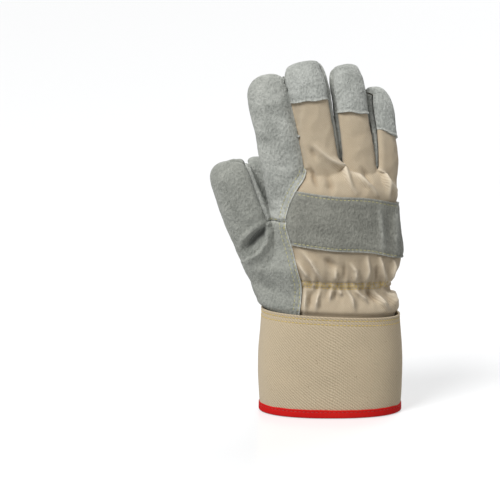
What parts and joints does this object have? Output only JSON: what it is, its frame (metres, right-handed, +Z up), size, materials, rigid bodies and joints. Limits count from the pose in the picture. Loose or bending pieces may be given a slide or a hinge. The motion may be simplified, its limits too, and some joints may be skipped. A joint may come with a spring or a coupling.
{
  "type": "rigger glove",
  "caption": "Right-hand rigger glove: suede palm, thumb, index finger, fingertips and knuckle strap, cotton drill back and a stiff canvas safety cuff with a bound hem.",
  "frame": {"origin": "on the floor under the middle of the glove's outline, as it stands on its cuff", "axes": "+Z is up the fingers, -Y is the back of the hand, +Y is the palm and -X is the thumb side"},
  "size_m": [0.145, 0.0674, 0.2625],
  "materials": {
    "palm_suede": "matt split suede",
    "finger_suede": "matt split suede",
    "strap_suede": "matt split suede",
    "cap_suede": "matt split suede",
    "cotton_drill": "matt twill",
    "cuff_canvas": "stiff starched twill",
    "hem_tape": "smooth woven tape"
  },
  "bodies": {
    "root": {"cuff": "cuff_canvas", "hem_tape": "hem_tape", "palm": "palm_suede", "middle_ring_front": "palm_suede", "thumb_front": "finger_suede", "thumb_back": "finger_suede", "index_back": "finger_suede", "cotton_back": "cotton_drill", "knuckle_strap": "strap_suede", "middle_tip_cap": "cap_suede", "ring_tip_cap": "cap_suede", "little_tip_cap": "cap_suede"}
  },
  "joints": []
}
